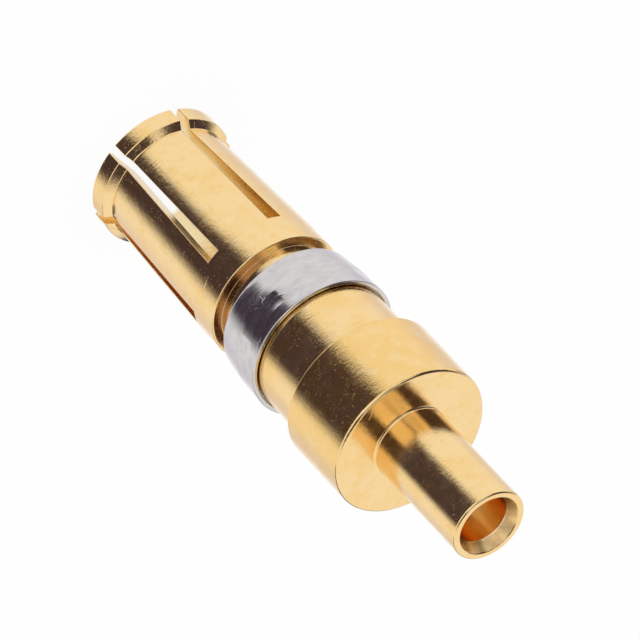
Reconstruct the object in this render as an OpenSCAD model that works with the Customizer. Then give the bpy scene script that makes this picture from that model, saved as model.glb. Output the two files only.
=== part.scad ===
// High power socket contact: a turned, slotted and gold-plated body with a
// solder barrel at its back, and a split spring ring that holds it in an insulator.
// The axis is Z. The contact stands on its socket mouth at Z = 0, barrel end up.

/* [Socket] */
// Outside diameter of the socket sleeve behind the slots
socket_d = 5.35; // [5.1:0.05:5.8]
// Length of the socket, from its mouth to the back of the sleeve
socket_len = 8; // [7.6:0.1:9.5]
// Bore at the roots of the spring fingers
bore_d = 4; // [3.7:0.05:4.2]
// Depth of the full bore, from the mouth
bore_depth = 7.5; // [7.1:0.1:8.2]
// Angle of the drill point at the bottom of both bores
drill_angle = 118; // [90:1:140]

/* [Spring fingers] */
// Number of fingers, and of the slots between them
finger_count = 6; // [4:1:8]
// Length of the slots, from the mouth
slot_len = 6.7; // [5:0.1:7]
// Width of the slots at their roots
slot_w = 0.56; // [0.4:0.02:0.8]
// Bore between the closed fingertips, which grip the mating pin
grip_d = 3.52; // [3.4:0.01:3.68]
// Length of the gripping land behind the lead-in
grip_len = 1.2; // [0.6:0.1:2]
// Diameter of the lead-in cone at the mouth
lead_in_d = 4.98; // [4.2:0.02:5.2]
// Included angle of the lead-in cone
lead_in_angle = 90; // [60:1:110]
// Outside diameter of the thick rim round the fingertips
rim_d = 5.44; // [5.3:0.02:5.8]
// Length of the rim, from the mouth
rim_len = 0.7; // [0.4:0.05:1.2]
// Angle of the slope from the rim down to the fingers, to the axis
rim_slope = 52; // [30:1:70]

/* [Groove, neck and collar] */
// Diameter of the groove that the ring sits in
groove_d = 4.59; // [4.3:0.01:4.9]
// Diameter of the neck behind the groove
neck_d = 5.42; // [5.36:0.01:5.6]
// Length of the neck, up to the collar
neck_len = 2.98; // [1.5:0.02:5]
// Chamfer on the neck's front edge, under the ring
neck_chamfer = 0.1; // [0.05:0.01:0.2]
// Diameter of the collar
collar_d = 6.2; // [6:0.05:8]
// Length of the collar
collar_len = 3.23; // [1:0.01:6]
// Chamfer on the collar's back edge
collar_chamfer = 0.13; // [0.05:0.01:0.3]

/* [Solder barrel] */
// Outside diameter of the barrel
barrel_d = 2.95; // [2.7:0.05:4]
// Length of the barrel behind the collar
barrel_len = 5.1; // [3:0.1:9]
// Bore for the wire
wire_d = 1.95; // [1.2:0.05:2.1]
// Depth of the wire bore, from the barrel's end
wire_depth = 4.2; // [3:0.1:7]
// Diameter of the countersink at the barrel's end
wire_mouth_d = 2.47; // [2.2:0.01:2.5]
// Included angle of the countersink
wire_mouth_angle = 60; // [45:1:90]
// Fillet where the barrel leaves the collar
barrel_fillet = 0.1; // [0.05:0.01:0.3]
// Rounding of the barrel's outer end edge
barrel_round = 0.06; // [0.02:0.01:0.09]

/* [Retention ring] */
// Length of the ring along the axis
ring_len = 2.3; // [1.8:0.05:3]
// Thickness of the ring's sheet
ring_t = 0.18; // [0.12:0.01:0.25]
// Free length of groove in front of the ring
ring_play = 0.8; // [0.3:0.05:1.5]
// How far the ring reaches back over the neck
ring_overlap = 0.5; // [0.2:0.05:0.9]
// Clearance between the ring and the neck's front edge
ring_clearance = 0.025; // [0.01:0.005:0.05]
// Angle of the ring's skirt to the axis
skirt_angle = 2.2; // [1:0.1:4]
// Length of the steeper lip at the ring's front
lip_len = 1.1; // [0.6:0.05:1.3]
// Angle of the lip to the axis
lip_angle = 6.3; // [4:0.1:8]
// Width of the slit that lets the ring close
slit_w = 0.6; // [0.3:0.05:1.2]
// Direction of the slit round the axis
slit_angle = 90; // [0:5:355]
// Number of pressed dimples, evenly spaced with the slit
dimple_count = 8; // [3:1:10]
// Distance from the dimples' centres back to the neck's front edge
dimple_lead = 0.35; // [0.3:0.05:0.6]
// Radius of the punch that pressed the dimples
dimple_r = 1.1; // [0.8:0.05:1.5]
// Depth of the dimples
dimple_depth = 0.05; // [0.03:0.01:0.08]

/* [Edges] */
// Small chamfer that breaks the other turned edges
edge_break = 0.06; // [0.02:0.01:0.08]

/* [Hidden] */

$fn = 96;
// Reach of a cutter past the surface it cuts through
over = 1;
// Steps along a small rounded edge of a profile
round_steps = 4;

// Places along the axis
groove_len = ring_play + ring_len - ring_overlap;
neck_z = socket_len + groove_len;
collar_z = neck_z + neck_len;
collar_back_z = collar_z + collar_len;
end_z = collar_back_z + barrel_len;
ring_front_z = socket_len + ring_play;
ring_back_z = ring_front_z + ring_len;
ring_break_z = ring_front_z + lip_len;

// How far each closed fingertip is bent towards the axis, and what that leaves of the slot
finger_bend = (bore_d - grip_d) / 2;
tip_d = socket_d - 2 * finger_bend;
slot_tip_w = slot_w - 2 * finger_bend * sin(180 / finger_count);

// Depths of the conical mouths, slopes and drill points
lead_in_depth = (lead_in_d - grip_d) / 2 / tan(lead_in_angle / 2);
rim_drop = (rim_d - tip_d) / 2 / tan(rim_slope);
wire_mouth_depth = (wire_mouth_d - wire_d) / 2 / tan(wire_mouth_angle / 2);
bore_point = bore_d / 2 / tan(drill_angle / 2);
wire_point = wire_d / 2 / tan(drill_angle / 2);

// Inner radii of the ring, all worked out from its seat on the neck's front edge
ring_seat_r = neck_d / 2 + ring_clearance;
ring_back_r = ring_seat_r + ring_overlap * tan(skirt_angle);
ring_break_r = ring_back_r - (ring_len - lip_len) * tan(skirt_angle);
ring_front_r = ring_break_r - lip_len * tan(lip_angle);
dimple_z = neck_z - dimple_lead;
dimple_wall_r = ring_seat_r + ring_t - dimple_lead * tan(skirt_angle);
dimple_pitch = 360 / (dimple_count + 1);

// Points of an arc about [r, z], from angle a to angle b
function arc(r, z, radius, a, b) =
    [for (i = [0 : round_steps])
        let (t = a + (b - a) * i / round_steps) [r + radius * cos(t), z + radius * sin(t)]];

// Width of a slot at height z: the bent fingers close it towards the mouth
function slot_width(z) = slot_tip_w + (slot_w - slot_tip_w) * z / slot_len;

// Outside of the socket, from the lead-in out over the rim and back to the groove
function socket_profile() = [
    [lead_in_d / 2, 0],
    [rim_d / 2 - edge_break, 0],
    [rim_d / 2, edge_break],
    [rim_d / 2, rim_len],
    [tip_d / 2, rim_len + rim_drop],
    [socket_d / 2, slot_len],
    [socket_d / 2, socket_len - edge_break],
    [socket_d / 2 - edge_break, socket_len],
    [groove_d / 2, socket_len]];

// Outside of the neck and the collar
function collar_profile() = [
    [groove_d / 2, neck_z],
    [neck_d / 2 - neck_chamfer, neck_z],
    [neck_d / 2, neck_z + neck_chamfer],
    [neck_d / 2, collar_z],
    [collar_d / 2 - edge_break, collar_z],
    [collar_d / 2, collar_z + edge_break],
    [collar_d / 2, collar_back_z - collar_chamfer],
    [collar_d / 2 - collar_chamfer, collar_back_z]];

// Outside of the barrel, its end and the wire bore
function barrel_profile() = concat(
    arc(barrel_d / 2 + barrel_fillet, collar_back_z + barrel_fillet, barrel_fillet, 270, 180),
    arc(barrel_d / 2 - barrel_round, end_z - barrel_round, barrel_round, 0, 90),
    [[wire_mouth_d / 2, end_z],
     [wire_d / 2, end_z - wire_mouth_depth],
     [wire_d / 2, end_z - wire_depth],
     [0, end_z - wire_depth - wire_point]]);

// Socket bore, from its drill point out to the lead-in
function bore_profile() = [
    [0, bore_depth + bore_point],
    [bore_d / 2, bore_depth],
    [bore_d / 2, slot_len],
    [grip_d / 2, lead_in_depth + grip_len],
    [grip_d / 2, lead_in_depth]];

// One saw cut between two fingers, along +X
module slot_cut() {
    rotate([90, 0, 90])
        linear_extrude(rim_d / 2 + over)
            polygon([
                [-slot_width(-over) / 2, -over],
                [slot_width(-over) / 2, -over],
                [slot_w / 2, slot_len],
                [-slot_w / 2, slot_len]]);
}

// Turned body: socket, groove, neck, collar and barrel are one piece of bar
module contact_body() {
    color([0.93, 0.77, 0.45])
        difference() {
            rotate_extrude()
                polygon(concat(socket_profile(), collar_profile(), barrel_profile(), bore_profile()));
            for (i = [0 : finger_count - 1])
                rotate(i * 360 / finger_count) slot_cut();
        }
}

// Section of the ring's sheet, with its front edge rolled in
function ring_section() = concat(
    arc(ring_front_r + ring_t / 2, ring_front_z + ring_t / 2, ring_t / 2, 180, 360),
    [[ring_break_r + ring_t, ring_break_z],
     [ring_back_r + ring_t, ring_back_z - edge_break],
     [ring_back_r + ring_t - edge_break, ring_back_z],
     [ring_back_r, ring_back_z],
     [ring_break_r, ring_break_z]]);

// Space inside the middle of the ring's sheet, where the dimples stand out inwards
function ring_inside() = [
    [0, ring_front_z],
    [ring_front_r + ring_t / 2, ring_front_z],
    [ring_break_r + ring_t / 2, ring_break_z],
    [ring_back_r + ring_t / 2, ring_back_z],
    [0, ring_back_z]];

// One ball for each dimple, pressed in from outside the ring
module dimple_balls(radius) {
    for (i = [1 : dimple_count])
        rotate(slit_angle + i * dimple_pitch)
            translate([dimple_wall_r + dimple_r - dimple_depth, 0, dimple_z])
                sphere(radius);
}

// Split spring ring of sheet steel
module retention_ring() {
    color([0.72, 0.71, 0.72])
        difference() {
            union() {
                rotate_extrude() polygon(ring_section());
                intersection() {
                    rotate_extrude() polygon(ring_inside());
                    dimple_balls(dimple_r + ring_t);
                }
            }
            dimple_balls(dimple_r);
            rotate(slit_angle)
                translate([0, -slit_w / 2, ring_front_z - over])
                    cube([ring_back_r + ring_t + over, slit_w, ring_len + 2 * over]);
        }
}

contact_body();
retention_ring();
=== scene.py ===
"""Power socket contact for the workshop's shelf of parts.

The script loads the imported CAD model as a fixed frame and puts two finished
pieces in its place: the turned, slotted and gold-plated body and the split
spring ring that sits in its groove. A plain stage with a camera goes with them.
Run it as a script. Every length is in metres, in the frame of the CAD model.
"""

import math

import bmesh
import bpy
from mathutils import Matrix, Vector


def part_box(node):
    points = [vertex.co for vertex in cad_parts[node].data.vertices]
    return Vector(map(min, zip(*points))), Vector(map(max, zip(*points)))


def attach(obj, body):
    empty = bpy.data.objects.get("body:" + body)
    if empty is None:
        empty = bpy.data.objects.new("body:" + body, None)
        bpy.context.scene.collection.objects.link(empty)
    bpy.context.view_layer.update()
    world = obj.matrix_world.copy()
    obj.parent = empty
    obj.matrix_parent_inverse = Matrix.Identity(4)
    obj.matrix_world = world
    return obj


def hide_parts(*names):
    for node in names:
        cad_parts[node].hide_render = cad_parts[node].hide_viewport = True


bl_info = {
    "name": "Power Socket Contact",
    "version": (1, 0, 0),
    "blender": (4, 5, 0),
    "location": "View3D > Sidebar > Contact",
    "description": "Models a turned power socket contact, its retention ring and a plain stage",
    "category": "Object",
}

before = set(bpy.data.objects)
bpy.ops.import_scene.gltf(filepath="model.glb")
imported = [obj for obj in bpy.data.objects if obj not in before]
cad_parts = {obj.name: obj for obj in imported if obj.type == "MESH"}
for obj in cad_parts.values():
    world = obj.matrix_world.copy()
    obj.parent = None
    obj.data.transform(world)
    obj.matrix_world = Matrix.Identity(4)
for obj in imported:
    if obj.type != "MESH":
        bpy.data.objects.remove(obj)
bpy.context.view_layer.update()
BODY_LOW, BODY_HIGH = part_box("contact_body")
RING_LOW, RING_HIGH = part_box("retention_ring")

MM = 0.001
MICROMETRE = 1e-6
# Points closer than this are the same point, and points this close to a plane lie on it
TOUCHING = 1e-7
ON_PLANE = 2e-6

# Columns of vertices round the body, and how many of them lie on each side of a slot's middle
BODY_COLUMNS = 180
SLOT_COLUMNS = 4
# Columns beside a slot that give way so that the wall columns can move
EASED_COLUMNS = 2
# Columns round the ring
RING_COLUMNS = 480
# Rows along the closed fingers, inside and outside, and along the ring's lip and skirt
GRIP_ROWS = 4
FINGER_ROWS = 5
LIP_ROWS = 6
SKIRT_ROWS = 24
# Steps along a rounded edge of a section, and along one that is rounded at the end
ROUND_STEPS = 4
EDGE_STEPS = 2
# Edges that turn by more than this are rounded at the end
SHARP = math.radians(28)
# How far past its corners the floor of a slot is looked for
ROOT_MARGIN = 1.05


def length(name, description, default):
    """Property for a length, with its default in metres"""
    return bpy.props.FloatProperty(
        name=name, description=description, default=default, min=0, precision=5,
        subtype="DISTANCE", unit="LENGTH")


def angle(name, description, default):
    """Property for an angle, with its default in degrees"""
    return bpy.props.FloatProperty(
        name=name, description=description, default=math.radians(default),
        subtype="ANGLE", unit="ROTATION")


def colour(name, description, default):
    """Property for a linear colour"""
    return bpy.props.FloatVectorProperty(
        name=name, description=description, default=default, min=0, max=1, size=3, subtype="COLOR")


def share(name, description, default):
    """Property for a number from 0 to 1"""
    return bpy.props.FloatProperty(
        name=name, description=description, default=default, min=0, max=1, subtype="FACTOR")


class ContactSizes(bpy.types.PropertyGroup):
    """Sizes of the turned body"""
    socket_d: length("Socket diameter", "Outside of the sleeve behind the slots", 5.35 * MM)
    socket_len: length("Socket length", "From the mouth to the back of the sleeve", 8 * MM)
    bore_d: length("Bore", "Bore at the roots of the fingers", 4 * MM)
    bore_depth: length("Bore depth", "Depth of the full bore from the mouth", 7.5 * MM)
    drill_angle: angle("Drill angle", "Point angle at the bottom of both bores", 118)
    finger_count: bpy.props.IntProperty(
        name="Fingers", description="Number of spring fingers and slots", default=6, min=2, max=12)
    slot_len: length("Slot length", "From the mouth to the root of a slot", 6.7 * MM)
    slot_w: length("Slot width", "Width of a slot at its root", 0.56 * MM)
    slot_tip_w: length("Slot width at the mouth", "What the closed fingers leave of a slot", 0.32 * MM)
    grip_d: length("Grip bore", "Bore between the closed fingertips", 3.52 * MM)
    grip_len: length("Grip length", "Length of the gripping land", 1.2 * MM)
    lead_in_d: length("Lead-in", "Diameter of the lead-in cone at the mouth", 4.98 * MM)
    lead_in_depth: length("Lead-in depth", "Depth of the lead-in cone", 0.73 * MM)
    rim_d: length("Rim", "Diameter of the thick rim round the fingertips", 5.44 * MM)
    rim_len: length("Rim length", "From the mouth to the rim's back edge", 0.7 * MM)
    rim_drop: length("Rim slope", "Length of the slope behind the rim", 0.223 * MM)
    tip_d: length("Finger diameter", "Outside of the closed fingers behind the rim", 4.87 * MM)
    groove_d: length("Groove", "Diameter of the groove for the ring", 4.59 * MM)
    groove_len: length("Groove length", "From the sleeve to the neck", 2.6 * MM)
    neck_d: length("Neck", "Diameter of the neck", 5.42 * MM)
    neck_len: length("Neck length", "From the groove to the collar", 2.98 * MM)
    neck_chamfer: length("Neck chamfer", "Chamfer on the neck's front edge", 0.1 * MM)
    collar_d: length("Collar", "Diameter of the collar", BODY_HIGH.x - BODY_LOW.x)
    collar_len: length("Collar length", "Length of the collar", 3.23 * MM)
    collar_round: length("Collar rounding", "Rounding of the collar's back edge", 0.13 * MM)
    barrel_d: length("Barrel", "Outside of the solder barrel", 2.95 * MM)
    barrel_end: length("Overall length", "From the mouth to the barrel's end", BODY_HIGH.z)
    barrel_fillet: length("Barrel fillet", "Fillet between barrel and collar", 0.1 * MM)
    barrel_round: length("Barrel rounding", "Rounding of the barrel's outer end edge", 0.09 * MM)
    wire_d: length("Wire bore", "Bore for the wire", 1.95 * MM)
    wire_depth: length("Wire bore depth", "From the barrel's end", 4.2 * MM)
    wire_mouth_d: length("Countersink", "Diameter of the countersink", 2.47 * MM)
    wire_mouth_depth: length("Countersink depth", "Depth of the countersink", 0.45 * MM)
    mouth_round: length("Countersink rounding", "Rounding of the countersink's outer edge", 0.07 * MM)
    turned_round: length("Turned edges", "Rounding of the other turned edges", 0.06 * MM)
    edge_round: length("Edge rounding", "Rounding that the plating leaves on every edge", 0.028 * MM)


class RingSizes(bpy.types.PropertyGroup):
    """Sizes of the split spring ring"""
    front: length("Front", "Height of the ring's rolled front edge", RING_LOW.z)
    back: length("Back", "Height of the ring's back edge", RING_HIGH.z)
    lip_len: length("Lip", "Length of the steeper lip at the front", 1.1 * MM)
    sheet: length("Sheet", "Thickness of the sheet", 0.18 * MM)
    front_r: length("Front radius", "Inner radius at the front", 2.587 * MM)
    break_r: length("Break radius", "Inner radius where lip and skirt meet", 2.708 * MM)
    back_r: length("Back radius", "Inner radius at the back", 2.754 * MM)
    slit: angle("Slit", "Half of the angle that the slit takes", 6)
    slit_at: angle("Slit direction", "Direction of the slit round the axis", 90)
    dimple_count: bpy.props.IntProperty(
        name="Dimples", description="Pressed marks, evenly spaced with the slit", default=8, min=0)
    dimple_z: length("Dimple height", "Height of the pressed marks", 10.25 * MM)
    dimple_depth: length("Dimple depth", "Depth of a mark's flat floor under the skirt", 0.019 * MM)
    dimple_len: length("Dimple length", "Length of that floor along the axis", 0.38 * MM)
    dimple_end: length("Dimple end", "Length of each of the two soft steps at its ends", 0.085 * MM)
    back_round: length("Back rounding", "Rounding of the back edge's two corners", 0.055 * MM)
    edge_round: length("Edge rounding", "Rounding left on the cut edges", 0.012 * MM)


class ContactFinish(bpy.types.PropertyGroup):
    """Colours of plating and steel"""
    gold_pale: colour("Pale gold", "Most of the plating", (0.925, 0.675, 0.34))
    gold_rich: colour("Rich gold", "Thicker patches of the plating", (0.905, 0.61, 0.24))
    gold_dull: colour("Dull gold", "Chatter marks in the wire bore", (0.62, 0.36, 0.16))
    # Painted shade: a darker gold that stands for the shade on one side of the groove
    gold_groove_shade: colour("Tarnished gold", "Plating on one side of the groove", (0.52, 0.29, 0.14))
    gold_bright: colour("Bright gold", "Fresh plating in the wire bore", (1, 0.82, 0.53))
    gold_inside: colour("Inner gold", "Thin plating inside the socket", (0.86, 0.69, 0.40))
    steel_light: colour("Light steel", "Most of the ring", (0.67, 0.64, 0.63))
    steel_dark: colour("Dark steel", "Streaks on the ring", (0.57, 0.55, 0.56))


class StageSettings(bpy.types.PropertyGroup):
    """Camera, floor and surroundings"""
    azimuth: angle("Azimuth", "Direction of the camera round the contact", 16.5)
    elevation: angle("Elevation", "Height of the camera over the horizon", 37.77)
    roll: angle("Roll", "Turn of the camera about its own axis", 136.83)
    distance: length("Distance", "From the camera to the point that it aims at", 569 * MM)
    lens: bpy.props.FloatProperty(
        name="Lens", description="Focal length of the camera", default=900, unit="CAMERA")
    aim: bpy.props.FloatVectorProperty(
        name="Aim", description="Point at the middle of the picture", size=3, subtype="TRANSLATION",
        unit="LENGTH", default=(-0.528 * MM, -0.360 * MM, 10.235 * MM))
    floor_size: length("Floor", "Side of the floor", 1.2)
    floor_white: share("Floor white", "How much of the floor's white is even, without shadow", 0.94)
    table_tilt: angle("Table tilt", "How steeply the camera looks down on a table under the contact", 43.3)
    curtain_r: length("Curtain radius", "Distance of the dark curtain from the contact", 0.3)
    curtain: colour("Curtain", "Colour of the dark curtain on the camera's side", (0.066, 0.048, 0.066))
    veil: colour("Veil", "Colour of the thin veil behind the contact", (0.84, 0.81, 0.87))


# Modelling by hand, in edit mode

def begin_piece(name, start):
    """Add a primitive, melt it to one point at the start of a half section and stay in edit mode"""
    bpy.ops.object.select_all(action="DESELECT")
    bpy.ops.mesh.primitive_plane_add(size=MM)
    piece = bpy.context.object
    piece.name = name
    piece.data.name = name
    bpy.ops.object.mode_set(mode="EDIT")
    bpy.ops.mesh.select_mode(type="VERT")
    bpy.ops.mesh.select_all(action="SELECT")
    bpy.ops.mesh.merge(type="CENTER")
    bpy.ops.transform.translate(value=(start[0], 0, start[1]))
    return piece


def draw_section(points):
    """Extrude the last point along a half section of radius and height"""
    for (radius, height), (next_radius, next_height) in zip(points, points[1:]):
        step = (next_radius - radius, 0, next_height - height)
        bpy.ops.mesh.extrude_region_move(TRANSFORM_OT_translate={"value": step})


def turn_section(steps, sweep):
    """Spin the whole section about the axis, and close its seam and its poles

    Without a window the operator spins the other way."""
    bpy.ops.mesh.select_all(action="SELECT")
    bpy.ops.mesh.spin(steps=steps, angle=-sweep, center=(0, 0, 0), axis=(0, 0, 1))
    bpy.ops.mesh.select_all(action="SELECT")
    bpy.ops.mesh.remove_doubles(threshold=TOUCHING)
    bpy.ops.mesh.normals_make_consistent(inside=False)


def select(kind, test):
    """Select only the vertices, edges or faces that pass a test"""
    bpy.ops.mesh.select_mode(type=kind)
    bpy.ops.mesh.select_all(action="DESELECT")
    mesh = bpy.context.edit_object.data
    shape = bmesh.from_edit_mesh(mesh)
    for element in {"VERT": shape.verts, "EDGE": shape.edges, "FACE": shape.faces}[kind]:
        if test(element):
            element.select_set(True)
    shape.select_flush_mode()
    bmesh.update_edit_mesh(mesh)


def turn_selected(by, axis="Z", about=(0, 0, 0)):
    """Turn what is selected about an axis; without a window the operator turns the other way"""
    bpy.ops.transform.rotate(value=-by, orient_axis=axis, center_override=about)


def resize(factor):
    """Resize the piece about the origin, with its new size in the mesh"""
    bpy.ops.transform.resize(value=(factor, factor, factor), center_override=(0, 0, 0))
    bpy.ops.object.transform_apply(location=True, rotation=True, scale=True)


def finish_piece(piece, edge_round, material):
    """Round the sharp edges, smooth the shading, test that the piece is closed and give it its finish"""
    bpy.ops.mesh.select_all(action="SELECT")
    bpy.ops.mesh.normals_make_consistent(inside=False)
    bpy.ops.object.mode_set(mode="OBJECT")
    bpy.ops.object.shade_smooth()
    bpy.ops.object.modifier_add(type="BEVEL")
    rounding = piece.modifiers[-1]
    rounding.width = edge_round
    rounding.segments = EDGE_STEPS
    rounding.limit_method = "ANGLE"
    rounding.angle_limit = SHARP
    rounding.use_clamp_overlap = False
    bpy.ops.object.modifier_apply(modifier=rounding.name)
    # The modifier passes over very small faces, so it works on an enlarged piece
    resize(1 / MM)
    bpy.ops.object.modifier_add(type="WEIGHTED_NORMAL")
    bpy.ops.object.modifier_apply(modifier=piece.modifiers[-1].name)
    resize(MM)
    shape = bmesh.new()
    shape.from_mesh(piece.data)
    closed = all(edge.is_manifold for edge in shape.edges)
    shape.free()
    if not closed:
        raise RuntimeError(piece.name + " has an open or a doubled edge")
    piece.data.materials.append(material)


def arc(radius, height, size, first, last):
    """Points of a small arc in a half section, from one angle to another in degrees"""
    points = []
    for step in range(ROUND_STEPS + 1):
        turn = math.radians(first + (last - first) * step / ROUND_STEPS)
        points.append((radius + size * math.cos(turn), height + size * math.sin(turn)))
    return points


def between(start, end, count):
    """Points that divide a straight stretch of a half section, without its ends"""
    stretch = Vector(end) - Vector(start)
    return [tuple(Vector(start) + stretch * step / count) for step in range(1, count)]


# Turned body

def body_section(size):
    """Half section of the body from the socket's drill point, round the outside, to the wire bore's"""
    point_slope = math.tan(size.drill_angle / 2)
    bore_r = size.bore_d / 2
    grip_r = size.grip_d / 2
    socket_r = size.socket_d / 2
    collar_r = size.collar_d / 2
    barrel_r = size.barrel_d / 2
    wire_r = size.wire_d / 2
    neck_z = size.socket_len + size.groove_len
    collar_z = neck_z + size.neck_len
    back_z = collar_z + size.collar_len
    end_z = size.barrel_end
    rounded = size.turned_round
    root = (bore_r, size.slot_len)
    land = (grip_r, size.lead_in_depth + size.grip_len)
    slope_end = (size.tip_d / 2, size.rim_len + size.rim_drop)
    finger_root = (socket_r, size.slot_len)
    socket = [
        (0, size.bore_depth + bore_r / point_slope),
        (bore_r, size.bore_depth),
        root,
        *between(root, land, GRIP_ROWS),
        land,
        (grip_r, size.lead_in_depth),
        (size.lead_in_d / 2, 0),
        *arc(size.rim_d / 2 - rounded, rounded, rounded, -90, 0),
        (size.rim_d / 2, size.rim_len),
        slope_end,
        *between(slope_end, finger_root, FINGER_ROWS),
        finger_root,
        *arc(socket_r - rounded, size.socket_len - rounded, rounded, 0, 90),
        (size.groove_d / 2, size.socket_len)]
    collar = [
        (size.groove_d / 2, neck_z),
        (size.neck_d / 2 - size.neck_chamfer, neck_z),
        (size.neck_d / 2, neck_z + size.neck_chamfer),
        (size.neck_d / 2, collar_z),
        *arc(collar_r - rounded, collar_z + rounded, rounded, -90, 0),
        *arc(collar_r - size.collar_round, back_z - size.collar_round, size.collar_round, 0, 90)]
    fillet = size.barrel_fillet
    end_round = size.barrel_round
    mouth_r = size.wire_mouth_d / 2
    mouth_slope = math.atan2(mouth_r - wire_r, size.wire_mouth_depth)
    mouth_round = size.mouth_round
    mouth_centre = mouth_r + mouth_round * math.tan((math.pi / 2 - mouth_slope) / 2)
    barrel = [
        *arc(barrel_r + fillet, back_z + fillet, fillet, 270, 180),
        *arc(barrel_r - end_round, end_z - end_round, end_round, 0, 90),
        *arc(mouth_centre, end_z - mouth_round, mouth_round, 90, 180 - math.degrees(mouth_slope)),
        (wire_r, end_z - size.wire_mouth_depth),
        (wire_r, end_z - size.wire_depth),
        (0, end_z - size.wire_depth - wire_r / point_slope)]
    return socket + collar + barrel


def off_slot(place, size):
    """Angle of a place from the middle of the nearest slot"""
    pitch = math.tau / size.finger_count
    turn = math.atan2(place.y, place.x)
    return turn - round(turn / pitch) * pitch


def slot_wall(radius, height, size):
    """Angle of a slot's wall from its middle: the closed fingers narrow the slot towards the mouth"""
    width = size.slot_tip_w + (size.slot_w - size.slot_tip_w) * height / size.slot_len
    return math.asin(width / 2 / radius)


def set_columns_on_walls(section, size):
    """Turn the columns of vertices beside every slot, so that one column lies on each wall"""
    pitch = math.tau / BODY_COLUMNS
    wall_column = SLOT_COLUMNS * pitch
    last_column = (SLOT_COLUMNS + EASED_COLUMNS) * pitch
    slotted = [point for point in section if point[1] <= size.slot_len + TOUCHING]
    for radius, height in slotted:
        wall = slot_wall(radius, height, size)
        for column in range(1, SLOT_COLUMNS + EASED_COLUMNS):
            place = column * pitch
            if place <= wall_column:
                target = wall * place / wall_column
            else:
                target = wall + (last_column - wall) * (place - wall_column) / (last_column - wall_column)
            for side in (1, -1):
                select("VERT", lambda vert: (
                    abs(vert.co.z - height) < TOUCHING
                    and abs(vert.co.xy.length - radius) < TOUCHING
                    and abs(off_slot(vert.co, size) - side * place) < pitch / 10))
                turn_selected(side * (target - place))


def in_slot(face, size):
    """Whether a face lies between the walls of a slot"""
    middle = face.calc_center_median()
    if middle.z > size.slot_len:
        return False
    return abs(off_slot(middle, size)) < slot_wall(middle.xy.length, middle.z, size)


def cut_slots(size):
    """Open the slots, then close their walls and roots"""
    select("FACE", lambda face: in_slot(face, size))
    bpy.ops.mesh.delete(type="FACE")
    pitch = math.tau / size.finger_count
    for slot in range(size.finger_count):
        for side in (1, -1):
            close_wall(slot * pitch, side, size)
        close_root(slot * pitch, size)


def on_wall(place, middle, side, size):
    """Whether a place lies on one wall of the slot at an angle"""
    if place.z > size.slot_len + TOUCHING or place.xy.length < TOUCHING:
        return False
    turn = math.atan2(place.y, place.x) - middle
    turn -= round(turn / math.tau) * math.tau
    wall = slot_wall(place.xy.length, place.z, size)
    return abs(turn - side * wall) * place.xy.length < ON_PLANE


def close_wall(middle, side, size):
    """Join the two ends of a wall's outline at the root, then fill the outline"""
    def at_root(vert):
        return abs(vert.co.z - size.slot_len) < TOUCHING and on_wall(vert.co, middle, side, size)

    def on_outline(edge):
        return (edge.is_boundary or edge.is_wire) and all(
            on_wall(vert.co, middle, side, size) for vert in edge.verts)

    select("VERT", at_root)
    bpy.ops.mesh.edge_face_add()
    select("EDGE", on_outline)
    bpy.ops.mesh.edge_face_add()


def close_root(middle, size):
    """Fill the floor at the root of a slot"""
    reach = slot_wall(size.bore_d / 2, size.slot_len, size) * ROOT_MARGIN

    def on_root(edge):
        if not edge.is_boundary:
            return False
        for vert in edge.verts:
            turn = math.atan2(vert.co.y, vert.co.x) - middle
            turn -= round(turn / math.tau) * math.tau
            if abs(vert.co.z - size.slot_len) > TOUCHING or abs(turn) > reach:
                return False
        return True

    select("EDGE", on_root)
    bpy.ops.mesh.edge_face_add()


class CONTACT_OT_body(bpy.types.Operator):
    """Turn the body, saw its slots and plate it"""
    bl_idname = "contact.body"
    bl_label = "Turned Body"
    bl_options = {"REGISTER", "UNDO"}

    def execute(self, context):
        size = context.scene.contact_sizes
        section = body_section(size)
        body = begin_piece("turned_body", section[0])
        draw_section(section)
        turn_section(BODY_COLUMNS, math.tau)
        set_columns_on_walls(section, size)
        cut_slots(size)
        finish_piece(body, size.edge_round, gold_plating(context.scene.contact_finish))
        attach(body, "root")
        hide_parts("contact_body")
        return {"FINISHED"}


# Split ring

def ring_section(size):
    """Closed section of the ring's sheet, with its front edge rolled in"""
    half = size.sheet / 2
    outer_break = (size.break_r + size.sheet, size.front + size.lip_len)
    rounded = size.back_round
    outer_back = (size.back_r + size.sheet, size.back - rounded)
    inner_back = (size.back_r, size.back - rounded)
    inner_break = (size.break_r, size.front + size.lip_len)
    return [
        *arc(size.front_r + half, size.front + half, half, 180, 360),
        *between((size.front_r + size.sheet, size.front + half), outer_break, LIP_ROWS),
        outer_break,
        *between(outer_break, outer_back, SKIRT_ROWS),
        *arc(size.back_r + size.sheet - rounded, size.back - rounded, rounded, 0, 90),
        *arc(size.back_r + rounded, size.back - rounded, rounded, 90, 180),
        *between(inner_back, inner_break, SKIRT_ROWS),
        inner_break,
        *between(inner_break, (size.front_r, size.front + half), LIP_ROWS)]


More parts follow.
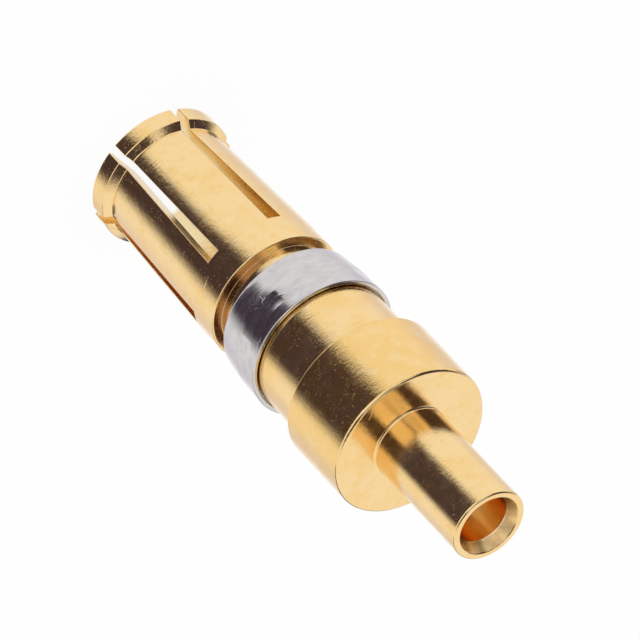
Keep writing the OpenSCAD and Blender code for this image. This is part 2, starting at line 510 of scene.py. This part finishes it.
def press_dimples(size):
    """Press the flat marks into both sides of the sheet, with soft ends

    The ring is turned and leant so that each mark in turn faces +X, where a resize to nothing makes it
    flat."""
    pitch = math.tau / (size.dimple_count + 1)
    break_z = size.front + size.lip_len
    lean = math.atan2(size.back_r - size.break_r, size.back - break_z)
    outer_r = size.break_r + size.sheet + (size.dimple_z - break_z) * math.tan(lean)
    mark = (outer_r, 0, size.dimple_z)
    for number in range(1, size.dimple_count + 1):
        at = size.slit_at + number * pitch
        bpy.ops.mesh.select_all(action="SELECT")
        turn_selected(-at)
        turn_selected(-lean, "Y", mark)
        for floor in (outer_r - size.dimple_depth, outer_r - size.dimple_depth - size.sheet):
            # Each soft step, and at last the floor, keeps a share of what the one before left of the bulge
            for steps, kept in ((2, 2 / 3), (1, 1 / 2), (0, 0)):
                reach = size.dimple_len / 2 + steps * size.dimple_end
                select("VERT", lambda vert: (
                    abs(vert.co.z - size.dimple_z) < reach and vert.co.x > floor
                    and vert.co.xy.length < floor + size.sheet / 2))
                bpy.ops.transform.resize(value=(kept, 1, 1), center_override=(floor, 0, size.dimple_z))
        bpy.ops.mesh.select_all(action="SELECT")
        turn_selected(lean, "Y", mark)
        turn_selected(at)


class CONTACT_OT_ring(bpy.types.Operator):
    """Roll the split ring and press its marks"""
    bl_idname = "contact.ring"
    bl_label = "Retention Ring"
    bl_options = {"REGISTER", "UNDO"}

    def execute(self, context):
        size = context.scene.contact_ring
        section = ring_section(size)
        ring = begin_piece("split_ring", section[0])
        draw_section(section)
        ends = [Vector((radius, 0, height)) for radius, height in (section[0], section[-1])]
        select("VERT", lambda vert: any((vert.co - end).length < TOUCHING for end in ends))
        bpy.ops.mesh.edge_face_add()
        bpy.ops.mesh.select_all(action="SELECT")
        turn_selected(size.slit_at + size.slit)
        turn_section(RING_COLUMNS, math.tau - 2 * size.slit)
        for side in (1, -1):
            at = size.slit_at + side * size.slit
            across = Vector((-math.sin(at), math.cos(at), 0))
            outwards = Vector((math.cos(at), math.sin(at), 0))
            select("EDGE", lambda edge: edge.is_boundary and all(
                abs(vert.co.dot(across)) < ON_PLANE and vert.co.dot(outwards) > 0
                for vert in edge.verts))
            bpy.ops.mesh.edge_face_add()
        bpy.ops.mesh.select_all(action="SELECT")
        bpy.ops.mesh.normals_make_consistent(inside=False)
        press_dimples(size)
        finish_piece(ring, size.edge_round, spring_steel(context.scene.contact_finish))
        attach(ring, "root")
        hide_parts("retention_ring")
        return {"FINISHED"}


# Finishes

# Zones of the body's finish in millimetres: the heights, radii or places to the side where each one starts
# to fade in and is whole, or both ends of it
BY_RING = ((10.7, 10.8), (11.5, 12.7))
ON_COLLAR = ((13.5, 13.6), (16.7, 16.8))
IN_GROOVE = ((7.96, 7.99), (10.59, 10.62))
GROOVE_WALL = (2.62, 2.56)
# Side of the groove that gets the painted shade, as places to the side where it starts to fade in and is
# whole
SHADED_SIDE = (-0.5, 0.6)
SOCKET_BACK = (9, 8.9)
SOCKET_WALL = (2.4, 2.2)
BARREL_FRONT = (15, 15.2)
COUNTERSINK_WALL = (1.24, 1.2)
WIRE_BORE_WALL = (1.01, 0.99)


def add_node(tree, kind, inputs=None, **settings):
    """Add a node with its settings; an input is a plain value or another node's output"""
    node = tree.nodes.new(kind)
    for name, value in settings.items():
        setattr(node, name, value)
    for name, value in (inputs or {}).items():
        if isinstance(value, bpy.types.NodeSocket):
            tree.links.new(value, node.inputs[name])
        else:
            node.inputs[name].default_value = value
    return node


def new_material(name):
    """New material with its shader, and the object coordinates that its patterns read"""
    material = bpy.data.materials.new(name)
    material.use_nodes = True
    tree = material.node_tree
    shader = tree.nodes["Principled BSDF"]
    coordinates = add_node(tree, "ShaderNodeTexCoord").outputs["Object"]
    return material, tree, shader, coordinates


def noise(tree, place, scale, detail=2.0, roughness=0.5):
    """Noise pattern; the scale is in features per metre"""
    node = add_node(
        tree, "ShaderNodeTexNoise",
        {"Vector": place, "Scale": scale, "Detail": detail, "Roughness": roughness})
    return node.outputs["Fac"]


def spread(tree, value, low, high, new_low=0.0, new_high=1.0):
    """Map a value from one range to another, smoothly and within its ends"""
    node = add_node(
        tree, "ShaderNodeMapRange",
        {"Value": value, "From Min": low, "From Max": high, "To Min": new_low, "To Max": new_high},
        interpolation_type="SMOOTHSTEP")
    return node.outputs["Result"]


def blend_colours(tree, amount, first, second):
    """Blend two colours"""
    node = add_node(tree, "ShaderNodeMix", data_type="RGBA")
    tree.links.new(amount, node.inputs["Factor"])
    colours = [socket for socket in node.inputs if socket.type == "RGBA"]
    for socket, value in zip(colours, (first, second)):
        if isinstance(value, bpy.types.NodeSocket):
            tree.links.new(value, socket)
        else:
            socket.default_value = (*value, 1)
    return next(socket for socket in node.outputs if socket.type == "RGBA")


def bump(tree, height, depth, normal=None):
    """Raise a pattern by a depth in metres, over an earlier one"""
    inputs = {"Height": height, "Distance": depth, "Strength": 1.0}
    if normal is not None:
        inputs["Normal"] = normal
    return add_node(tree, "ShaderNodeBump", inputs).outputs["Normal"]


def calculate(tree, operation, first, second):
    """Result of a sum on two values"""
    return add_node(tree, "ShaderNodeMath", {0: first, 1: second}, operation=operation).outputs[0]


def stretched(tree, place, factors):
    """Coordinates for a pattern that is finer along one axis than along another"""
    return add_node(tree, "ShaderNodeMapping", {"Vector": place, "Scale": factors}).outputs["Vector"]


def radius_and_height(tree, place):
    """Distance from the turning axis, and place along it"""
    flat = add_node(tree, "ShaderNodeVectorMath", {0: place, 1: (1, 1, 0)}, operation="MULTIPLY")
    radius = add_node(tree, "ShaderNodeVectorMath", {0: flat.outputs["Vector"]}, operation="LENGTH")
    axes = add_node(tree, "ShaderNodeSeparateXYZ", {"Vector": place})
    return radius.outputs["Value"], axes.outputs["Z"]


def fade_in(tree, place, ends):
    """How far a place lies inside a zone that fades in between two ends in millimetres"""
    return spread(tree, place, ends[0] * MM, ends[1] * MM)


def overlap(tree, first, second):
    """Where two zones lie over each other"""
    return calculate(tree, "MULTIPLY", first, second)


def along(tree, height, start, end):
    """Stretch of the axis that fades in over one pair of heights and out over another"""
    return overlap(tree, fade_in(tree, height, start), fade_in(tree, height, end[::-1]))


def scratches(tree, place, scale, width, kept):
    """Short fine scratches in all directions: pieces of the borders of large cells"""
    cells = add_node(
        tree, "ShaderNodeTexVoronoi", {"Vector": place, "Scale": scale}, feature="DISTANCE_TO_EDGE")
    line = spread(tree, cells.outputs["Distance"], 0, width * scale, 1, 0)
    return overlap(tree, line, spread(tree, noise(tree, place, scale * 1.4), kept, kept + 0.08))


def stained_gold(tree, place, height, finish):
    """Pale gold with richer stains, which gather by the ring and on the collar"""
    stains = calculate(
        tree, "ADD",
        spread(tree, noise(tree, place, scale=1100, detail=4, roughness=0.6), 0.4, 0.75, 0, 0.7),
        spread(tree, noise(tree, place, scale=3400), 0.5, 0.75, 0, 0.6))
    handled = calculate(
        tree, "ADD", along(tree, height, *BY_RING), along(tree, height, *ON_COLLAR))
    smudges = spread(tree, noise(tree, place, scale=1600, detail=3), 0.25, 0.55)
    stains = calculate(tree, "MAXIMUM", stains, overlap(tree, handled, smudges))
    return blend_colours(tree, stains, finish.gold_pale, finish.gold_rich)


def turned_relief(tree, place):
    """Turning marks, grain, specks and scratches of the plated body"""
    turned = noise(tree, stretched(tree, place, (1, 1, 6)), scale=3200, detail=4, roughness=0.6)
    faced = add_node(
        tree, "ShaderNodeTexWave", {"Vector": place, "Scale": 5200, "Distortion": 3, "Detail": 3},
        wave_type="RINGS", rings_direction="Z")
    grain = noise(tree, place, scale=9000, detail=4, roughness=0.65)
    specks = spread(tree, noise(tree, place, scale=16000, detail=1), 0.7, 0.78)
    long_scratches = scratches(tree, place, scale=620, width=16 * MICROMETRE, kept=0.62)
    short_scratches = scratches(tree, place, scale=1700, width=12 * MICROMETRE, kept=0.6)
    normal = bump(tree, turned, 3 * MICROMETRE)
    normal = bump(tree, faced.outputs["Fac"], 0.4 * MICROMETRE, normal)
    normal = bump(tree, grain, 4.2 * MICROMETRE, normal)
    normal = bump(tree, specks, 2.1 * MICROMETRE, normal)
    normal = bump(tree, long_scratches, 3 * MICROMETRE, normal)
    return bump(tree, short_scratches, 1.2 * MICROMETRE, normal)


def gold_plating(finish):
    """Gold plating over fine turning marks, with a bright wire bore and painted shade on one side of the
    groove
    """
    material, tree, shader, place = new_material("gold_plating")
    radius, height = radius_and_height(tree, place)
    shader.inputs["Metallic"].default_value = 1

    in_groove = overlap(
        tree, along(tree, height, *IN_GROOVE), fade_in(tree, radius, GROOVE_WALL))
    side = add_node(tree, "ShaderNodeSeparateXYZ", {"Vector": place}).outputs["X"]
    # Painted shade: the groove is darker on one side
    groove_shade = overlap(tree, in_groove, fade_in(tree, side, SHADED_SIDE))
    inside = overlap(
        tree, fade_in(tree, height, SOCKET_BACK), fade_in(tree, radius, SOCKET_WALL))
    in_barrel = fade_in(tree, height, BARREL_FRONT)
    drilled = overlap(tree, in_barrel, fade_in(tree, radius, COUNTERSINK_WALL))
    bored = overlap(tree, in_barrel, fade_in(tree, radius, WIRE_BORE_WALL))
    chatter = spread(tree, noise(tree, stretched(tree, place, (1, 1, 0.1)), scale=2600), 0.4, 0.65)

    plated = stained_gold(tree, place, height, finish)
    plated = blend_colours(tree, groove_shade, plated, finish.gold_groove_shade)
    plated = blend_colours(tree, inside, plated, finish.gold_inside)
    reamed = blend_colours(tree, chatter, plated, finish.gold_dull)
    plated = blend_colours(tree, calculate(tree, "MULTIPLY", drilled, 0.6), plated, reamed)
    plated = blend_colours(tree, bored, plated, finish.gold_bright)
    tree.links.new(plated, shader.inputs["Base Color"])

    polish = spread(
        tree, noise(tree, place, scale=2600, detail=3, roughness=0.6), 0.3, 0.7, 0.10, 0.16)
    reaming = calculate(
        tree, "SUBTRACT", calculate(tree, "MULTIPLY", drilled, 0.3),
        calculate(tree, "MULTIPLY", bored, 0.2))
    tree.links.new(calculate(tree, "MAXIMUM", polish, reaming), shader.inputs["Roughness"])
    tree.links.new(turned_relief(tree, place), shader.inputs["Normal"])
    return material


def spring_steel(finish):
    """Bright sheet steel with rolling streaks round the ring"""
    material, tree, shader, place = new_material("spring_steel")
    shader.inputs["Metallic"].default_value = 1
    round_it = stretched(tree, place, (1, 1, 5))
    smears = noise(tree, stretched(tree, place, (1, 1, 2)), scale=1500, detail=4, roughness=0.6)
    steel = blend_colours(
        tree, spread(tree, smears, 0.35, 0.75), finish.steel_light, finish.steel_dark)
    tree.links.new(steel, shader.inputs["Base Color"])
    polish = spread(tree, noise(tree, round_it, scale=1500, detail=3), 0.3, 0.7, 0.14, 0.21)
    tree.links.new(polish, shader.inputs["Roughness"])
    waves = noise(tree, place, scale=900)
    streaks = noise(tree, round_it, scale=2400, detail=3, roughness=0.6)
    grain = noise(tree, place, scale=9000, detail=3, roughness=0.6)
    fine_scratches = scratches(tree, place, scale=800, width=15 * MICROMETRE, kept=0.6)
    normal = bump(tree, waves, 6 * MICROMETRE)
    normal = bump(tree, streaks, 0.8 * MICROMETRE, normal)
    normal = bump(tree, grain, 1.5 * MICROMETRE, normal)
    normal = bump(tree, fine_scratches, 3 * MICROMETRE, normal)
    tree.links.new(normal, shader.inputs["Normal"])
    return material


# Stage

# Windows in the curtain: direction to the camera's right, up and back, and size in degrees
WINDOWS = (
    ((0.46, 0.15, 0.87), 10),
    ((0.16, 0.46, 0.87), 7),
    ((-0.47, -0.13, 0.87), 7),
    ((0.63, -0.10, 0.77), 8),
    ((0, 0, 1), 18),
    ((0.54, -0.58, 0.61), 11),
    ((0.66, 0.29, 0.69), 9),
)
# How far the curtain reaches to the back, as the sine of an angle, and how it reaches further low down
CURTAIN_REACH = 0.36
CURTAIN_LEAN = 0.44
LEAN_BELOW = -0.613
# Where the curtain's hem ends and starts to let the light through, as sines of the angle over the table
HEM = (-0.36, -0.02)
# A bright gap that runs all round, which the rounded edges show: the angles of rise of its ends, and
# that of its upper end on the camera's right
GAP = (-18, 25)
GAP_RIGHT = 14
# Headings whose share of the camera's right is larger than this count as on its right
ON_RIGHT = 0.6
# How the curtain under the gap fades in, as sines of the angle of rise
LOW_FADE = (-0.31, -0.46)
# Where the veil behind the contact ends and is whole, outside and then inside, as cosines of the angle
# from the line of sight
VEIL = (0.47, 0.86, 0.87, 0.975)
# Strips of cloth in the gap, for the other views: direction and width, and their angles of rise
STRIPS = ((60, 76), (157, 16))
STRIP_RISE = (-23, -3)
# How much further out than the curtain the strips and the veil hang
STRIPS_OUT = 1.05
VEIL_OUT = 1.1
# Facets round the sphere that the cloths are cut from
CLOTH_FACETS = 128
FLOOR_GREY = (0.9, 0.9, 0.9, 1)
WHITE = (1, 1, 1, 1)
# The bores turn black with fewer bounces of the light
BOUNCES = 16


def floor_finish(even):
    """Pale floor whose white is mostly even to the camera, so that a soft shadow stays"""
    material = bpy.data.materials.new("studio_floor")
    material.use_nodes = True
    tree = material.node_tree
    tree.nodes.remove(tree.nodes["Principled BSDF"])
    matte = add_node(tree, "ShaderNodeBsdfDiffuse", {"Color": FLOOR_GREY})
    glow = add_node(tree, "ShaderNodeEmission", {"Color": WHITE, "Strength": 1.0})
    ray = add_node(tree, "ShaderNodeLightPath")
    amount = calculate(tree, "MULTIPLY", ray.outputs["Is Camera Ray"], even)
    mixed = add_node(
        tree, "ShaderNodeMixShader", {0: amount, 1: matte.outputs[0], 2: glow.outputs[0]})
    tree.links.new(mixed.outputs[0], tree.nodes["Material Output"].inputs["Surface"])
    return material


def curtain_finish(name, dark, fades):
    """Cloth that lets the light through towards its edges

    Each fade is a direction, the reach along it where the cloth is thinnest and that where it is whole."""
    material = bpy.data.materials.new(name)
    material.use_nodes = True
    tree = material.node_tree
    tree.nodes.remove(tree.nodes["Principled BSDF"])
    place = add_node(tree, "ShaderNodeTexCoord").outputs["Object"]
    glow = add_node(tree, "ShaderNodeEmission", {"Color": (*dark, 1), "Strength": 1.0})
    cloth = None
    for direction, thin, whole in fades:
        reach = add_node(tree, "ShaderNodeVectorMath", {0: place, 1: direction}, operation="DOT_PRODUCT")
        fade = spread(tree, reach.outputs["Value"], thin, whole)
        cloth = fade if cloth is None else overlap(tree, cloth, fade)
    if cloth is not None:
        tree.links.new(blend_colours(tree, cloth, (1, 1, 1), dark), glow.inputs["Color"])
    tree.links.new(glow.outputs[0], tree.nodes["Material Output"].inputs["Surface"])
    return material


def camera_axes(stage):
    """Axes of the camera: right, up and back, as a rotation"""
    turn = Matrix.Rotation(stage.azimuth, 3, "Z")
    tilt = Matrix.Rotation(math.pi / 2 - stage.elevation, 3, "X")
    return turn @ tilt @ Matrix.Rotation(stage.roll, 3, "Z")


def table_up(axes, tilt):
    """Direction straight up from a table under the contact, as it lies in the camera's picture"""
    return axes.col[1] * math.cos(tilt) + axes.col[2] * math.sin(tilt)


def is_dark(place, axes, tilt):
    """Whether the curtain hangs in the direction of a place: over the table, on the camera's side"""
    heading = place.normalized()
    rise = math.degrees(math.asin(heading.z))
    if GAP[0] < rise < (GAP_RIGHT if heading.dot(axes.col[0]) > ON_RIGHT else GAP[1]):
        return False
    away = axes.col[1] * math.sin(tilt) - axes.col[2] * math.cos(tilt)
    reach = CURTAIN_REACH + CURTAIN_LEAN * max(0, LEAN_BELOW - heading.z)
    if heading.dot(table_up(axes, tilt)) < HEM[0] or heading.dot(away) > reach:
        return False
    return all(heading.angle(axes @ Vector(window)) > math.radians(size) for window, size in WINDOWS)


def in_strip(place):
    """Whether a strip hangs in the direction of a place"""
    heading = place.normalized()
    rise = math.degrees(math.asin(heading.z))
    turn = math.degrees(math.atan2(heading.y, heading.x))
    return STRIP_RISE[0] < rise < STRIP_RISE[1] and any(
        abs((turn - at + 180) % 360 - 180) < width / 2 for at, width in STRIPS)


def hang_cloth(name, radius, test, dark, fades):
    """Cut a cloth out of a sphere round the contact; only the metal shows it"""
    bpy.ops.object.select_all(action="DESELECT")
    bpy.ops.mesh.primitive_uv_sphere_add(segments=CLOTH_FACETS, ring_count=CLOTH_FACETS // 2, radius=radius)
    cloth = bpy.context.object
    cloth.name = name
    bpy.ops.object.mode_set(mode="EDIT")
    select("FACE", lambda face: not test(face.calc_center_median()))
    bpy.ops.mesh.delete(type="FACE")
    bpy.ops.object.mode_set(mode="OBJECT")
    cloth.data.materials.append(curtain_finish(name, dark, fades))
    cloth.visible_camera = False
    cloth.visible_diffuse = False
    cloth.visible_shadow = False


class CONTACT_OT_stage(bpy.types.Operator):
    """Set up the floor, the surroundings and the camera"""
    bl_idname = "contact.stage"
    bl_label = "Stage"
    bl_options = {"REGISTER", "UNDO"}

    def execute(self, context):
        stage = context.scene.contact_stage
        axes = camera_axes(stage)
        bpy.ops.object.select_all(action="DESELECT")
        bpy.ops.mesh.primitive_plane_add(size=stage.floor_size)
        floor = context.object
        floor.name = "studio_floor"
        floor.data.materials.append(floor_finish(stage.floor_white))
        floor.visible_glossy = False
        floor.visible_transmission = False

        radius = stage.curtain_r
        tilt = stage.table_tilt
        dark = stage.curtain
        hem = (table_up(axes, tilt), HEM[0] * radius, HEM[1] * radius)
        low = (Vector((0, 0, 1)), LOW_FADE[0] * radius, LOW_FADE[1] * radius)
        hang_cloth(
            "high_curtain", radius, lambda place: place.z > 0 and is_dark(place, axes, tilt), dark, [hem])
        hang_cloth(
            "low_curtain", radius, lambda place: place.z < 0 and is_dark(place, axes, tilt), dark,
            [hem, low])
        hang_cloth("dark_strips", radius * STRIPS_OUT, in_strip, dark, [])
        veil_r = radius * VEIL_OUT
        ahead = -axes.col[2]
        hang_cloth(
            "veil", veil_r, lambda place: place.normalized().dot(ahead) > VEIL[0], stage.veil,
            [(ahead, VEIL[0] * veil_r, VEIL[1] * veil_r), (ahead, VEIL[3] * veil_r, VEIL[2] * veil_r)])

        world = context.scene.world or bpy.data.worlds.new("studio")
        context.scene.world = world
        world.use_nodes = True
        light = world.node_tree.nodes["Background"]
        light.inputs["Color"].default_value = WHITE
        light.inputs["Strength"].default_value = 1

        camera_data = bpy.data.cameras.new("camera")
        camera_data.lens = stage.lens
        camera = bpy.data.objects.new("camera", camera_data)
        context.scene.collection.objects.link(camera)
        camera.location = Vector(stage.aim) + axes.col[2] * stage.distance
        camera.rotation_euler = axes.to_euler()
        context.scene.camera = camera
        context.scene.cycles.max_bounces = BOUNCES
        context.scene.cycles.glossy_bounces = BOUNCES
        context.scene.view_settings.view_transform = "Standard"
        return {"FINISHED"}


class VIEW3D_PT_contact(bpy.types.Panel):
    """Steps and settings of the contact"""
    bl_label = "Power Socket Contact"
    bl_idname = "VIEW3D_PT_contact"
    bl_space_type = "VIEW_3D"
    bl_region_type = "UI"
    bl_category = "Contact"

    def draw(self, context):
        for operator, settings in STEPS:
            self.layout.operator(operator.bl_idname)
            box = self.layout.box()
            for group_name in settings:
                group = getattr(context.scene, group_name)
                for name in group.bl_rna.properties.keys():
                    if name not in {"rna_type", "name"}:
                        box.prop(group, name)


GROUPS = {
    "contact_sizes": ContactSizes,
    "contact_ring": RingSizes,
    "contact_finish": ContactFinish,
    "contact_stage": StageSettings,
}
STEPS = (
    (CONTACT_OT_body, ("contact_sizes", "contact_finish")),
    (CONTACT_OT_ring, ("contact_ring",)),
    (CONTACT_OT_stage, ("contact_stage",)),
)


def register():
    """Add the classes and the settings to Blender"""
    for name, group in GROUPS.items():
        bpy.utils.register_class(group)
        setattr(bpy.types.Scene, name, bpy.props.PointerProperty(type=group))
    for operator, _ in STEPS:
        bpy.utils.register_class(operator)
    bpy.utils.register_class(VIEW3D_PT_contact)


def unregister():
    """Take the classes and the settings out again"""
    bpy.utils.unregister_class(VIEW3D_PT_contact)
    for operator, _ in STEPS:
        bpy.utils.unregister_class(operator)
    for name, group in GROUPS.items():
        delattr(bpy.types.Scene, name)
        bpy.utils.unregister_class(group)


def main():
    """Make the contact and its stage"""
    register()
    bpy.ops.contact.body()
    bpy.ops.contact.ring()
    bpy.ops.contact.stage()


if __name__ == "__main__":
    main()
